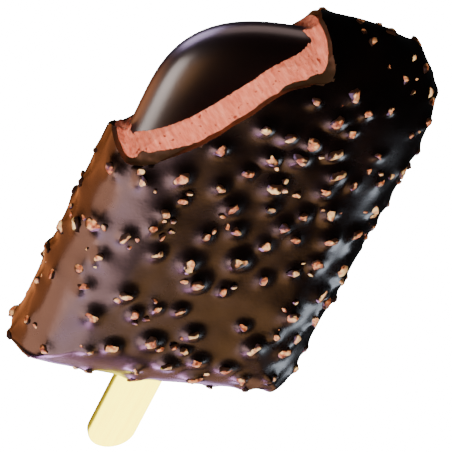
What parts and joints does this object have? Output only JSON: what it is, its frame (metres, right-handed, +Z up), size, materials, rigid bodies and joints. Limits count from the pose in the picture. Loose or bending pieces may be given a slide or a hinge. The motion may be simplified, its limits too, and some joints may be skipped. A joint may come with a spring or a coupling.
{
  "type": "ice cream bar",
  "caption": "Ice cream bar on a flat wooden stick, lying on its back, in dark chocolate with chopped nuts, bitten at a top corner so that its ice cream layer and smooth inner bar show.",
  "frame": {"origin": "bottom centre of the bounding box, under the largest of the nuts that the bar rests on", "axes": "+Z up, out of the bar's shown front, +Y towards its rounded end, away from the stick, +X to the right as its front is seen with the stick down"},
  "size_m": [0.0632, 0.1182, 0.0218],
  "materials": {
    "coating": "dark chocolate, glossy, lumpy over the nuts",
    "nuts": "chopped roasted nuts, dull",
    "filling": "pale chocolate ice cream, finely pitted",
    "core": "smooth dark chocolate, soft gloss",
    "stick": "plain pale wood, sanded"
  },
  "bodies": {
    "root": {"coating": "coating", "filling": "filling", "core": "core", "stick": "stick"}
  },
  "joints": []
}
